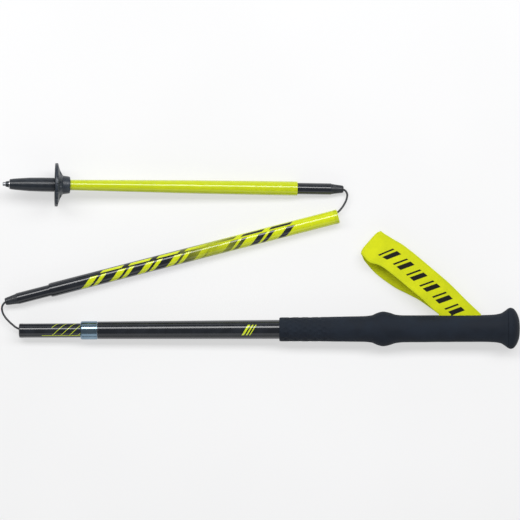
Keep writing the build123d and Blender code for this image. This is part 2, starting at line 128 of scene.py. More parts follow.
class Graph:
    """A material's node tree with short calls for the nodes used here."""

    def __init__(self, name):
        self.material = bpy.data.materials.new(name)
        self.material.use_nodes = True
        self.tree = self.material.node_tree
        self.shader = self.tree.nodes["Principled BSDF"]
        self.coords = self.node("ShaderNodeTexCoord")

    def node(self, kind, **settings):
        made = self.tree.nodes.new(kind)
        for key, value in settings.items():
            setattr(made, key, value)
        return made

    def put(self, value, socket):
        """Link a socket, or set a plain value."""
        if isinstance(value, bpy.types.NodeSocket):
            self.tree.links.new(value, socket)
        else:
            socket.default_value = value

    def math(self, operation, a, b=0.0):
        made = self.node("ShaderNodeMath", operation=operation)
        self.put(a, made.inputs[0])
        self.put(b, made.inputs[1])
        return made.outputs[0]

    def product(self, *values):
        """All the values multiplied together."""
        made = values[0]
        for value in values[1:]:
            made = self.math("MULTIPLY", made, value)
        return made

    def largest(self, *values):
        """The largest of the values at each point."""
        made = values[0]
        for value in values[1:]:
            made = self.math("MAXIMUM", made, value)
        return made

    def ramp(self, value, start, end, low=0.0, high=1.0):
        """Smoothly from low at start to high at end."""
        made = self.node("ShaderNodeMapRange", interpolation_type="SMOOTHSTEP")
        self.put(value, made.inputs["Value"])
        ends = {"From Min": start, "From Max": end, "To Min": low, "To Max": high}
        for name, number in ends.items():
            made.inputs[name].default_value = number
        return made.outputs["Result"]

    def within(self, value, start, end, soft):
        """1 between start and end, with soft edges."""
        rise = self.ramp(value, start - soft, start + soft)
        fall = self.ramp(value, end - soft, end + soft, 1.0, 0.0)
        return self.math("MULTIPLY", rise, fall)

    def every(self, value, period, start, end, soft):
        """Bars that repeat with a period and fill start to end of it."""
        share = self.math("FRACT", self.math("DIVIDE", value, period))
        return self.within(share, start, end, soft)

    def mix(self, factor, a, b):
        made = self.node("ShaderNodeMix", data_type="RGBA")
        self.put(factor, made.inputs[MIX_FACTOR])
        self.put(a, made.inputs[MIX_A])
        self.put(b, made.inputs[MIX_B])
        return made.outputs[MIX_RESULT]

    def noise(self, scale, detail, stretch=(1, 1, 1)):
        """Noise in the piece's own space, scale in cells a metre."""
        mapping = self.node("ShaderNodeMapping")
        mapping.inputs["Scale"].default_value = stretch
        self.put(self.coords.outputs["Object"], mapping.inputs["Vector"])
        made = self.node("ShaderNodeTexNoise")
        made.inputs["Scale"].default_value = scale
        made.inputs["Detail"].default_value = detail
        self.put(mapping.outputs[0], made.inputs["Vector"])
        return made.outputs["Fac"]

    def in_section(self, matrix):
        """(station, side, up) of the shaded point in a section, in millimetres."""
        offset = self.node("ShaderNodeVectorMath", operation="SUBTRACT")
        self.put(self.coords.outputs["Object"], offset.inputs[0])
        offset.inputs[1].default_value = matrix.translation
        found = []
        for column in range(3):
            dot = self.node("ShaderNodeVectorMath", operation="DOT_PRODUCT")
            self.put(offset.outputs[0], dot.inputs[0])
            dot.inputs[1].default_value = matrix.col[column].to_3d() / MM
            found.append(dot.outputs["Value"])
        return found

    def on_tube(self, matrix, radius, slope):
        """Where the shaded point is on a tube, in millimetres.

        That is its station, its distance round from the top line towards the section's side, and
        the station of the slanted line through it.
        """
        station, side, up = self.in_section(matrix)
        around = self.math("MULTIPLY", self.math("ARCTAN2", side, up), radius / MM)
        lean = self.math("SUBTRACT", station, self.math("MULTIPLY", around, slope))
        return station, around, lean

    def bump(self, height, distance, strength):
        made = self.node("ShaderNodeBump")
        made.inputs["Distance"].default_value = distance
        made.inputs["Strength"].default_value = strength
        self.put(height, made.inputs["Height"])
        self.put(made.outputs[0], self.shader.inputs["Normal"])

    def finish(self, colour, roughness, metallic=0.0, coat=0.0, gloss=0.5):
        self.put(colour, self.shader.inputs["Base Color"])
        self.shader.inputs["Specular IOR Level"].default_value = gloss
        self.put(roughness, self.shader.inputs["Roughness"])
        self.shader.inputs["Metallic"].default_value = metallic
        self.shader.inputs["Coat Weight"].default_value = coat
        self.shader.inputs["Coat Roughness"].default_value = COAT_ROUGHNESS
        return self.material


# ---- lacquered tubes ----------------------------------------------------------------------
BLACK = (0.006, 0.008, 0.012, 1)
BLACK_WORN = (0.012, 0.015, 0.021, 1)
LIME = (0.62, 0.70, 0.004, 1)
LIME_DEEP = (0.58, 0.66, 0.004, 1)
TIP_LIME = (0.52, 0.60, 0.003, 1)
TIP_LIME_DEEP = (0.48, 0.56, 0.003, 1)
LIME_PRINT = (0.62, 0.74, 0.02, 1)
LACQUER_ROUGHNESS = (0.12, 0.145)
LACQUER_GRAIN = 0.01 * MM
LACQUER_COAT = 0.3


class Lacquer(Graph):
    """Lacquer with a fine mottle, faint scratches along the tube and a clear coat."""

    def __init__(self, name):
        super().__init__(name)
        self.mottle = self.noise(90, 4)
        scratches = self.noise(900, 2, stretch=(0.05, 1, 1))
        self.roughness = self.ramp(scratches, 0.3, 0.8, *LACQUER_ROUGHNESS)
        self.bump(self.noise(260, 2), LACQUER_GRAIN, 0.04)

    def black(self):
        return self.mix(self.ramp(self.mottle, 0.35, 0.7), BLACK, BLACK_WORN)

    def lime(self, plain, deep):
        return self.mix(self.ramp(self.mottle, 0.3, 0.75), plain, deep)

    def coated(self, colour):
        return self.finish(colour, self.roughness, coat=LACQUER_COAT)


def black_tube():
    graph = Lacquer("black_lacquer")
    return graph.coated(graph.black())


def lime_paint():
    graph = Lacquer("lime_paint")
    return graph.coated(graph.lime(TIP_LIME, TIP_LIME_DEEP))


def slider_tube():
    """Black lacquer with thin slanted lines beside the collar, and one line along their foot."""
    pitch, slope = 8.6, 1.05
    foot_start, lines_start, print_end = 23, 33, 66
    lines_side, lines_far = -5.2, 9.5
    foot_side, foot_far = -6.0, -5.3
    graph = Lacquer("slider_lacquer")
    station, around, lean = graph.on_tube(GRIP, TUBE_R, slope)
    lines = graph.product(
        graph.every(lean, pitch, 0.46, 0.54, 0.02),
        graph.within(around, lines_side, lines_far, 0.2),
        graph.within(station, lines_start, print_end, 0.3),
    )
    foot = graph.product(
        graph.within(around, foot_side, foot_far, 0.12),
        graph.within(station, foot_start, print_end, 0.3),
    )
    return graph.coated(graph.mix(graph.largest(lines, foot), graph.black(), LIME_PRINT))


def upper_tube():
    """Black lacquer with three short slanted bars below the grip, each narrower than the last."""
    slope, soft = 0.6, 0.2
    stations = [(226.0, 228.4), (230.2, 231.8), (233.6, 234.6)]
    bars_side, bars_far = -6.0, 5.0
    graph = Lacquer("upper_lacquer")
    _, around, lean = graph.on_tube(GRIP, UPPER_TUBE_R, slope)
    bars = graph.largest(*[graph.within(lean, start, end, soft) for start, end in stations])
    mask = graph.product(bars, graph.within(around, bars_side, bars_far, 0.25))
    return graph.coated(graph.mix(mask, graph.black(), LIME_PRINT))


def middle_tube():
    """Black fading to lime, with slanted bars that change from lime to black on the way."""
    pitch, slope = 29.0, 1.15
    ground_fade, bars_fade = (118, 205), (135, 212)  # stations
    main_start, main_end, far_start, far_end = 36, 253, 46, 246
    main_side, main_far = -8.6, 2.6
    far_side, far_far = 4.2, 7.6
    dash_shift = 12.0
    graph = Lacquer("middle_lacquer")
    station, around, lean = graph.on_tube(MIDDLE, TUBE_R, slope)
    wide = graph.every(lean, pitch, 0.36, 0.64, 0.01)
    narrow = graph.every(lean, pitch, 0.76, 0.94, 0.01)
    main_row = graph.product(
        graph.largest(wide, narrow),
        graph.within(around, main_side, main_far, 0.15),
        graph.within(lean, main_start, main_end, 0.3),
    )
    far_row = graph.product(
        graph.every(graph.math("ADD", lean, dash_shift), pitch, 0.06, 0.82, 0.01),
        graph.within(around, far_side, far_far, 0.15),
        graph.within(lean, far_start, far_end, 0.3),
    )
    lime, black = graph.lime(LIME, LIME_DEEP), graph.black()
    ground = graph.mix(graph.ramp(station, *ground_fade), black, lime)
    print_colour = graph.mix(graph.ramp(station, *bars_fade), lime, black)
    return graph.coated(graph.mix(graph.largest(main_row, far_row), ground, print_colour))


# ---- plastic, metal, cord, foam and webbing -----------------------------------------------


def moulded(name, low, high, roughness, coat=0.0):
    """Moulded plastic with a fine grain, between two colours and two roughnesses."""
    graph = Graph(name)
    colour = graph.mix(graph.ramp(graph.noise(160, 4), 0.35, 0.7), low, high)
    graph.bump(graph.noise(2600, 3), 0.02 * MM, 0.03)
    varied = graph.ramp(graph.noise(420, 2), 0.3, 0.75, *roughness)
    return graph.finish(colour, varied, coat=coat)


def metal(name, low, high, roughness, matrix):
    """Metal turned on a section's axis, with fine rings across it."""
    rings_per_mm = 9.0
    graph = Graph(name)
    station, _, _ = graph.in_section(matrix)
    rings = graph.node("ShaderNodeTexNoise", noise_dimensions="1D")
    graph.put(graph.math("MULTIPLY", station, rings_per_mm), rings.inputs["W"])
    rings.inputs["Detail"].default_value = 4
    colour = graph.mix(graph.ramp(graph.noise(120, 3), 0.3, 0.7), low, high)
    varied = graph.ramp(rings.outputs["Fac"], 0.3, 0.7, *roughness)
    graph.bump(rings.outputs["Fac"], 0.02 * MM, 0.4)
    return graph.finish(colour, varied, metallic=1.0)


def cord_material():
    """A dark wound sheath."""
    dark, pale = (0.020, 0.021, 0.024, 1), (0.045, 0.047, 0.052, 1)
    graph = Graph("cord_sheath")
    weave = graph.noise(2200, 3)
    colour = graph.mix(graph.ramp(weave, 0.35, 0.7), dark, pale)
    graph.bump(weave, 0.08 * MM, 0.6)
    return graph.finish(colour, graph.ramp(weave, 0.3, 0.7, 0.38, 0.55))


def foam_material():
    """Closed-cell foam: fine pores, a soft mottle and a dull sheen."""
    dark, pale = (0.007, 0.011, 0.019, 1), (0.013, 0.019, 0.030, 1)
    pore_share, dent_share = 0.7, 0.6
    graph = Graph("grip_foam")
    cells = graph.node("ShaderNodeTexVoronoi")
    graph.put(graph.coords.outputs["Object"], cells.inputs["Vector"])
    cells.inputs["Scale"].default_value = 1500
    pores = graph.math("MULTIPLY", cells.outputs["Distance"], pore_share)
    dents = graph.math("MULTIPLY", graph.noise(700, 4), dent_share)
    graph.bump(graph.math("ADD", pores, dents), 0.12 * MM, 0.5)
    graph.shader.inputs["Sheen Weight"].default_value = 0.02
    graph.shader.inputs["Sheen Roughness"].default_value = 0.5
    mottle = graph.noise(55, 5)
    colour = graph.mix(graph.ramp(mottle, 0.3, 0.72), dark, pale)
    return graph.finish(colour, graph.ramp(mottle, 0.3, 0.7, 0.7, 0.86), gloss=0.22)


# The strap leaves the grip in this direction. Its rows start parallel with the grip and turn
# square to the strap over ROOT_TURN, in millimetres.
STRAP_HEADING = math.radians(138.5)
STRAP_ALONG = Vector((math.cos(STRAP_HEADING), math.sin(STRAP_HEADING), 0))
STRAP_ACROSS = Vector((math.sin(STRAP_HEADING), -math.cos(STRAP_HEADING), 0))
STRAP_SHEAR = STRAP_ACROSS.y / STRAP_ALONG.y
ROOT_TURN = 70.0
WEB_LIME, WEB_LIME_DEEP = (0.66, 0.70, 0.004, 1), (0.58, 0.63, 0.004, 1)
# the first is the bound edges' own colour; the second is painted shade for the weave's hollows
WEB_EDGE, WEB_PAINTED_SHADE = (0.46, 0.55, 0.01, 1), (0.40, 0.48, 0.005, 1)
INK, INK_WORN = (0.004, 0.004, 0.003, 1), (0.010, 0.010, 0.006, 1)


def unturned(graph, along, across):
    """Distance along the strap's upper layer, as if its rows didn't turn at the root."""
    left = graph.math("SUBTRACT", 1.0, graph.math("DIVIDE", along, ROOT_TURN))
    turn = graph.math("POWER", graph.math("MAXIMUM", left, 0.0), 2.0)
    return graph.math("SUBTRACT", along, graph.product(across, turn, STRAP_SHEAR))


def webbing_material():
    """Woven polyester: ribs across, yarns along, bound edges and generic slanted bars.

    The UV map holds millimetres along the strap and across it from its middle.
    """
    yarn_pitch, rib_pitch = 0.9, 1.1
    edge_start, edge_end = 13.2, 15.4
    bar_pitch, bar_slope, bar_half = 17.0, 0.55, 6.5
    print_start, print_end = -4, 102
    graph = Graph("lime_webbing")
    split = graph.node("ShaderNodeSeparateXYZ")
    graph.put(graph.coords.outputs["UV"], split.inputs[0])
    along, across = split.outputs[0], split.outputs[1]
    yarn = graph.math("SINE", graph.math("MULTIPLY", across, 2 * math.pi / yarn_pitch))
    rib = graph.math("SINE", graph.math("MULTIPLY", along, 2 * math.pi / rib_pitch))
    weave = graph.product(yarn, rib)
    edge = graph.within(graph.math("ABSOLUTE", across), edge_start, edge_end, 0.25)
    lime = graph.mix(graph.ramp(graph.noise(70, 4), 0.3, 0.7), WEB_LIME, WEB_LIME_DEEP)
    lime = graph.mix(graph.math("MULTIPLY", edge, 0.35), lime, WEB_EDGE)
    # painted shade: the weave's hollows, where its bump is lowest, are darkened with a shade colour
    lime = graph.mix(graph.ramp(weave, -1.0, 0.2, 0.25, 0.0), lime, WEB_PAINTED_SHADE)
    slant = graph.math("MULTIPLY", across, bar_slope)
    lean = graph.math("ADD", unturned(graph, along, across), slant)
    wide = graph.every(lean, bar_pitch, 0.12, 0.44, 0.02)
    narrow = graph.every(lean, bar_pitch, 0.60, 0.72, 0.02)
    mask = graph.product(
        graph.largest(wide, narrow),
        graph.within(across, -bar_half, bar_half, 0.2),
        graph.within(lean, print_start, print_end, 0.3),
    )
    ink = graph.mix(graph.ramp(weave, -0.6, 0.9), INK, INK_WORN)
    graph.bump(graph.math("MULTIPLY", weave, 0.5), 0.2 * MM, 0.55)
    graph.shader.inputs["Sheen Weight"].default_value = 0.05
    return graph.finish(graph.mix(mask, lime, ink), graph.ramp(weave, -1, 1, 0.66, 0.8), gloss=0.2)


FOAM = foam_material()
WEBBING = webbing_material()
CORD = cord_material()
DARK_PLASTIC = moulded(
    "dark_plastic", (0.010, 0.012, 0.016, 1), (0.022, 0.026, 0.034, 1), (0.34, 0.5)
)
TIP_PLASTIC = moulded(
    "tip_plastic", (0.009, 0.013, 0.019, 1), (0.013, 0.018, 0.026, 1), (0.30, 0.36)
)
BASKET_PLASTIC = moulded(
    "basket_plastic", (0.014, 0.020, 0.030, 1), (0.026, 0.035, 0.048, 1), (0.34, 0.44)
)
SPIGOT = moulded(
    "spigot_lacquer", (0.007, 0.009, 0.014, 1), (0.011, 0.014, 0.020, 1), (0.14, 0.18), coat=LACQUER_COAT
)
BARE_METAL = metal(
    "bare_metal", (0.50, 0.50, 0.52, 1), (0.62, 0.62, 0.63, 1), (0.24, 0.42), TIP
)
HOLDER_METAL = metal(
    "holder_metal", (0.04, 0.045, 0.05, 1), (0.07, 0.075, 0.085, 1), (0.3, 0.5), TIP
)
HARD_METAL = metal(
    "hard_metal", (0.24, 0.25, 0.27, 1), (0.36, 0.37, 0.39, 1), (0.34, 0.5), TIP
)
COLLAR_METAL = metal(
    "collar_metal", (0.18, 0.27, 0.35, 1), (0.22, 0.31, 0.39, 1), (0.12, 0.17), GRIP
)
BLACK_TUBE = black_tube()
LIME_TUBE = lime_paint()

NODE_MATERIALS = {
    "upper_tube": upper_tube(),
    "slider_tube": slider_tube(),
    "middle_tube": middle_tube(),
    "tip_tube": LIME_TUBE,
    "middle_socket": LIME_TUBE,
    "slider_socket": BLACK_TUBE,
    "lock_collar": COLLAR_METAL,
    "lock_ferrule": BARE_METAL,
    "strap_pin": BARE_METAL,
    "cord_crimp_upper": BARE_METAL,
    "cord_crimp_lower": BARE_METAL,
    "tip_washer": BARE_METAL,
    "tip_holder": HOLDER_METAL,
    "hard_tip": HARD_METAL,
    "tip_body": TIP_PLASTIC,
    "basket": BASKET_PLASTIC,
    "middle_spigot": SPIGOT,
    "tip_spigot": SPIGOT,
    "strap_tail": WEBBING,
    "cord_run_slider": CORD,
    "cord_run_middle": CORD,
    "cord_run_tip": CORD,
}
SHARP_ANGLE = math.radians(32)


def dress_nodes():
    """Give every CAD node its material, moulded plastic where nothing else is named."""
    for name, obj in frame["nodes"].items():
        obj.data.materials.clear()
        obj.data.materials.append(NODE_MATERIALS.get(name, DARK_PLASTIC))
        for polygon in obj.data.polygons:
            polygon.use_smooth = True
        obj.data.set_sharp_from_angle(angle=SHARP_ANGLE)


dress_nodes()

# ---- mesh helpers -------------------------------------------------------------------------


def new_object(name, verts, faces, material, uvs=None, smooth=True):
    """A mesh object. uvs holds one (u, v) for each vertex."""
    mesh = bpy.data.meshes.new(name)
    mesh.from_pydata([tuple(v) for v in verts], [], faces)
    if uvs is not None:
        layer = mesh.uv_layers.new(name="UVMap")
        for loop in mesh.loops:
            layer.data[loop.index].uv = uvs[loop.vertex_index]
    mesh.materials.append(material)
    for polygon in mesh.polygons:
        polygon.use_smooth = smooth
    mesh.validate()
    obj = bpy.data.objects.new(name, mesh)
    bpy.context.scene.collection.objects.link(obj)
    return obj


def ring_faces(rings, around):
    """Quads between rings of vertices."""
    faces = []
    for r in range(rings - 1):
        for k in range(around):
            a, b = r * around + k, r * around + (k + 1) % around
            faces.append((a, b, b + around, a + around))
    return faces


def apply_modifiers(obj):
    """Bake an object's modifiers into its mesh."""
    depsgraph = bpy.context.evaluated_depsgraph_get()
    mesh = bpy.data.meshes.new_from_object(obj.evaluated_get(depsgraph))
    obj.modifiers.clear()
    obj.data = mesh


# ---- cords --------------------------------------------------------------------------------
# A link leaves a socket off its middle and goes into the nose of the next section. Its points
# between them are listed places in the frame; the rest are stations of the sections.
NOSE_OUT = 46.3 * MM  # end of the middle section's nose, beyond its tube
TIP_NOSE_END = 340.7 * MM
MIDDLE_LENGTH = 297.6 * MM
GRIP_CORD_OFFSET = 1.7 * MM
MIDDLE_CORD_OFFSET = 2.2 * MM
GRIP_SOCKET_IN, GRIP_SOCKET_STRAIGHT = 12 * MM, 5 * MM
MIDDLE_SOCKET_IN, MIDDLE_SOCKET_STRAIGHT = 13 * MM, 7 * MM
NOSE_STRAIGHT, NOSE_IN = 0.6 * MM, 4.4 * MM
SPLINE_STEPS, SPLINE_ORDER = 24, 3
LINK_SIDES = 20
SHEATH_RIDGES, RIDGE_HEIGHT = 5, 0.035 * MM
RIDGE_TURN = 2.2  # radians along the cord for each of its own widths

LOWER_LINK = [
    GRIP @ Vector((GRIP_SOCKET_IN, GRIP_CORD_OFFSET, 0)),
    GRIP @ Vector((GRIP_SOCKET_STRAIGHT, GRIP_CORD_OFFSET, 0)),
    Vector((-0.2442, -0.0717, 0.0075)),
    Vector((-0.2510, -0.0663, 0.0063)),
    Vector((-0.2565, -0.0607, 0.0058)),
    Vector((-0.2597, -0.0553, 0.0059)),
    Vector((-0.2606, -0.0498, 0.0066)),
    MIDDLE @ Vector((-NOSE_OUT - NOSE_STRAIGHT, 0, 0)),
    MIDDLE @ Vector((-NOSE_OUT + NOSE_IN, 0, 0)),
]
UPPER_LINK = [
    MIDDLE @ Vector((MIDDLE_LENGTH - MIDDLE_SOCKET_IN, MIDDLE_CORD_OFFSET, 0)),
    MIDDLE @ Vector((MIDDLE_LENGTH - MIDDLE_SOCKET_STRAIGHT, MIDDLE_CORD_OFFSET, 0)),
    Vector((0.0762, 0.0434, 0.0067)),
    Vector((0.0799, 0.0472, 0.0057)),
    Vector((0.0834, 0.0524, 0.0049)),
    Vector((0.0857, 0.0579, 0.0046)),
    Vector((0.0859, 0.0629, 0.0046)),
    TIP @ Vector((TIP_NOSE_END + NOSE_STRAIGHT, 0, 0)),
    TIP @ Vector((TIP_NOSE_END - NOSE_IN, 0, 0)),
]


def read_spline(name, route):
    """The points of a smooth curve that follows a route, in order."""
    data = bpy.data.curves.new(name, "CURVE")
    data.dimensions = "3D"
    data.resolution_u = SPLINE_STEPS
    spline = data.splines.new("NURBS")
    spline.points.add(len(route) - 1)
    for point, place in zip(spline.points, route):
        point.co = (*place, 1)
    spline.order_u = SPLINE_ORDER
    spline.use_endpoint_u = True
    curve = bpy.data.objects.new(name, data)
    bpy.context.scene.collection.objects.link(curve)
    bpy.context.view_layer.update()
    line = bpy.data.meshes.new_from_object(curve)
    points = [v.co.copy() for v in line.vertices]
    bpy.data.objects.remove(curve)
    bpy.data.meshes.remove(line)
    return points


def tube_frames(path):
    """(point, side, up) along a path, without twist."""
    frames = []
    up = Vector((0, 0, 1))
    for k, point in enumerate(path):
        along = (path[min(k + 1, len(path) - 1)] - path[max(k - 1, 0)]).normalized()
        side = up.cross(along).normalized()
        up = along.cross(side).normalized()
        frames.append((point, side, up))
    return frames


def make_link(name, route, node):
    """A cord link: a tube with the faint ridges of a wound sheath, bent across its joint."""
    path = read_spline(name, route)
    verts, travelled = [], 0.0
    for k, (point, side, up) in enumerate(tube_frames(path)):
        travelled += (path[k] - path[k - 1]).length if k else 0.0
        for n in range(LINK_SIDES):
            angle = 2 * math.pi * n / LINK_SIDES
            wave = math.cos(SHEATH_RIDGES * angle + travelled / CORD_D * RIDGE_TURN)
            radius = CORD_D / 2 + RIDGE_HEIGHT * (wave - 1)
            verts.append(point + (side * math.cos(angle) + up * math.sin(angle)) * radius)
    faces = ring_faces(len(path), LINK_SIDES)
    faces.append(tuple(reversed(range(LINK_SIDES))))
    faces.append(tuple(range(len(verts) - LINK_SIDES, len(verts))))
    obj = new_object(name, verts, faces, CORD)
    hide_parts(node)
    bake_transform(obj)


make_link(
    "cord_lower",
    LOWER_LINK,
    "cord_link_lower",
)
make_link(
    "cord_upper",
    UPPER_LINK,
    "cord_link_upper",
)

# ---- foam grip ----------------------------------------------------------------------------
# station along the grip section, half width, half height, in millimetres
GRIP_PROFILE = [
    (260.2, 11.2, 11.2),
    (260.9, 11.8, 11.6),
    (263.0, 12.0, 11.8),
    (290.0, 12.1, 11.9),
    (320.0, 12.5, 12.2),
    (345.0, 12.9, 12.4),
    (352.0, 13.6, 12.6),
    (358.0, 16.0, 12.9),
    (364.0, 17.4, 13.1),
    (370.0, 16.3, 13.0),
    (377.0, 14.2, 12.5),
    (385.0, 13.5, 12.2),
    (420.0, 13.4, 12.2),
    (462.0, 13.4, 12.2),
    (474.0, 13.8, 12.4),
    (481.0, 14.9, 12.8),
    (486.0, 17.8, 13.9),
    (489.0, 20.0, 14.7),
    (491.2, 20.6, 15.0),
    (493.6, 20.0, 14.6),
    (496.4, 17.2, 12.7),
    (498.9, 12.2, 9.2),
    (500.2, 6.6, 5.0),
    (500.6, 0.4, 0.3),
]
CAP_SEAM = 489.0


def smooth_value(points, x):
    """The value at x of a monotone cubic through (x, y) points."""
    for k in range(len(points) - 1):
        if x <= points[k + 1][0]:
            break
    (x0, y0), (x1, y1) = points[k], points[k + 1]

    def slope(n):
        if n <= 0 or n >= len(points) - 1:
            return 0.0
        before = (points[n][1] - points[n - 1][1]) / (points[n][0] - points[n - 1][0])
        after = (points[n + 1][1] - points[n][1]) / (points[n + 1][0] - points[n][0])
        return 0.0 if before * after <= 0 else 2 * before * after / (before + after)

    run = x1 - x0
    t = min(max((x - x0) / run, 0.0), 1.0)
    from_start = (1 + 2 * t) * (1 - t) ** 2 * y0 + t * (1 - t) ** 2 * run * slope(k)
    from_end = t * t * (3 - 2 * t) * y1 + t * t * (t - 1) * run * slope(k + 1)
    return from_start + from_end


WIDTHS = [(station, half_width) for station, half_width, _ in GRIP_PROFILE]
HEIGHTS = [(station, half_height) for station, _, half_height in GRIP_PROFILE]
# Dimples go all round the lower part, in rows closer than their pitch as in a honeycomb. They
# give way to dashes that grow narrower.
DIMPLE_COLUMNS, DIMPLE_PITCH, ROW_SHARE = 14, 5.6, 0.87
DIMPLE_DEPTH, DIMPLE_REACH = 0.5, 0.42
DIMPLES_START, DIMPLES_END, DASHES_END = 264.0, 309.0, 326.0
DASH_DEPTH, DASH_REACH = 0.2, 0.38
DASH_WIDTH, DASH_LEAST = 0.14, 0.02
SLOT_START, SLOT_END, SLOT_HALF, SLOT_CUT = 420.5, 461.0, 2.3, 3.4
UNEVEN, UNEVEN_ALONG, UNEVEN_ROUND = 0.08, 0.12, 0.2  # height, and how fast it changes


def dimple_depth(station, angle):
    """How deep the moulded pattern goes at a point of the grip's lower part."""
    row = (station - DIMPLES_START) / (DIMPLE_PITCH * ROW_SHARE)
    column = angle / (2 * math.pi) * DIMPLE_COLUMNS + 0.5 * (math.floor(row) % 2)
    along = row - math.floor(row) - 0.5
    across = column - math.floor(column) - 0.5
    if DIMPLES_START < station < DIMPLES_END:
        reach = math.hypot(along, across)
        return DIMPLE_DEPTH * max(0.0, 1 - (reach / DIMPLE_REACH) ** 4)
    if DIMPLES_END <= station < DASHES_END:
        fade = 1 - (station - DIMPLES_END) / (DASHES_END - DIMPLES_END)
        dash = max(0.0, 1 - (across / (DASH_WIDTH * fade + DASH_LEAST)) ** 2)
        return DASH_DEPTH * dash * max(0.0, 1 - (along / DASH_REACH) ** 4)
    return 0.0


def slot_depth(station, side, up):
    """How deep the strap's slot goes at a point of the grip."""
    if side <= 0 or not SLOT_START - 1 < station < SLOT_END + 1:
        return 0.0
    across = max(0.0, 1 - (abs(up) / SLOT_HALF) ** 6)
    ends = min(station - SLOT_START + 1, SLOT_END + 1 - station, 1.0)
    return SLOT_CUT * across * ends


GRIP_AROUND = 168
FOAM_BORE_R, BORE_IN = 9.62, 0.1  # where the foam's lower end meets its tube


def grip_piece(name, stations, hollow_start, node):
    """One oval piece of the grip with its moulded pattern and slight unevenness."""
    verts = []
    for station in stations:
        wide, high = smooth_value(WIDTHS, station), smooth_value(HEIGHTS, station)
        for n in range(GRIP_AROUND):
            angle = 2 * math.pi * n / GRIP_AROUND
            side, up = wide * math.cos(angle), high * math.sin(angle)
            sink = dimple_depth(station, angle) + slot_depth(station, side, up)
            spot = Vector((station * UNEVEN_ALONG, side * UNEVEN_ROUND, up * UNEVEN_ROUND))
            wobble = UNEVEN * noise.noise(spot)
            share = 1 - (sink - wobble) / max(math.hypot(side, up), 1.0)
            verts.append(GRIP @ (Vector((station, side * share, up * share)) * MM))
    faces = ring_faces(len(stations), GRIP_AROUND)
    last = len(verts) - GRIP_AROUND
    base = 0
    if hollow_start:
        base = len(verts)
        for n in range(GRIP_AROUND):
            angle = 2 * math.pi * n / GRIP_AROUND
            side, up = FOAM_BORE_R * math.cos(angle), FOAM_BORE_R * math.sin(angle)
            verts.append(GRIP @ (Vector((stations[0] + BORE_IN, side, up)) * MM))
        for n in range(GRIP_AROUND):
            m = (n + 1) % GRIP_AROUND
            faces.append((base + n, base + m, m, n))
    faces.append(tuple(range(last, last + GRIP_AROUND)))
    faces.append(tuple(reversed(range(base, base + GRIP_AROUND))))
    obj = new_object(name, verts, faces, FOAM)
    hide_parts(node)
    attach(obj, "handle")


def steps(start, end, count):
    """Evenly spaced values from start to end."""
    return [start + (end - start) * k / count for k in range(count + 1)]


def grip_pieces():
    """The foam and its end cap, with rings closest together over the pattern and the slot."""
    seam_gap = 0.15
    foam = [260.2, 260.4, 260.7]  # the rounded lower edge
    foam += steps(261.2, 332.0, 118)  # the moulded pattern
    foam += steps(333.0, 418.0, 62)  # the swell
    foam += steps(419.0, 462.0, 62)  # the slot
    foam += steps(463.5, CAP_SEAM - seam_gap, 22)  # the flare
    cap = [CAP_SEAM, *steps(CAP_SEAM + 0.5, 500.0, 26), 500.3, 500.5, 500.6]
    grip_piece("grip_foam", foam, True, "foam_grip")
    grip_piece("grip_cap", cap, False, "grip_end_cap")


grip_pieces()

# ---- wrist strap, in millimetres ----------------------------------------------------------
STRAP_STATION, STRAP_OUT = 440.7, 14.4
STRAP_HALF = 15.0
WEBBING_THICKNESS, WEBBING_EDGE = 1.4, 0.35
STRAP_ROW, STRAP_COLUMNS = 1.2, 24
STRAP_ROOT = GRIP @ (Vector((STRAP_STATION, STRAP_OUT, 0)) * MM) / MM
# distance from the root along the strap, height above the surface
UPPER_LAYER = [(0, 15.3), (22, 15.5), (58, 16.8), (85, 15.6), (104, 12.6)]
FOLD = [(112.8, 10.4), (116.6, 7.0), (113.4, 3.6), (107.0, 1.9)]
LOWER_LAYER = [(96, 1.3), (62, 1.2), (40, 5.4), (20, 12.4), (0, 13.6)]
SLOT_DEEP = 3.0
SAME_POINT = 1e-6
BEVEL_ANGLE = math.radians(50)


def strap_line():
    """The strap's route seen from its side, as (distance, height, 0) without repeated points."""
    route = [Vector((out, height, 0)) for out, height in UPPER_LAYER + FOLD + LOWER_LAYER]
    points = read_spline("strap_route", route)
    dense = [points[0]]
    for point in points[1:]:
        if (point - dense[-1]).length > SAME_POINT:
            dense.append(point)
    return dense


def resample(points, gap):
    """Points at even spacing along a line, and its last point."""
    made, left = [points[0].copy()], gap
    for a, b in zip(points, points[1:]):
        run = b - a
        while run.length > left:
            a = a + run.normalized() * left
            made.append(a.copy())
            run = b - a
            left = gap
        left -= run.length
    made.append(points[-1].copy())
    return made


# distance from the root, offset of the layer's middle along STRAP_ACROSS
ROOT_SWAY = 1.6
UPPER_SWAY = [(0, ROOT_SWAY), (27, 3.0), (50, 2.6), (70, 2.2), (88, 1.2), (100, -1.0), (116, -3.0)]
LOWER_SWAY = [(0, ROOT_SWAY), (20, 1.0), (34, 0.5), (50, -2.4)]
LOWER_SWAY += [(69, -6.6), (89, -8.2), (108, -5.8), (116, -3.0)]
ROOT_GATHER, GATHER_REACH = 0.07, 45.0  # the webbing is gathered to go into the slot
FREE_FROM, FREE_REACH = 10, 25  # over this stretch the strap grows free of the slot
CURL, CURL_AT, CURL_REACH = 2.6, 103, 7
CORNER, CORNER_FROM, CORNER_REACH = 2.6, 106, 10  # how far the fold's corners round off
RIPPLE, RIPPLE_ALONG, RIPPLE_ACROSS = 0.7, 0.03, 0.05
UPPER_CUP, LOWER_CUP = 0.5, -0.2
UPPER_SEED, LOWER_SEED = 9.0, 3.0
LEAST_HEIGHT = 1.05


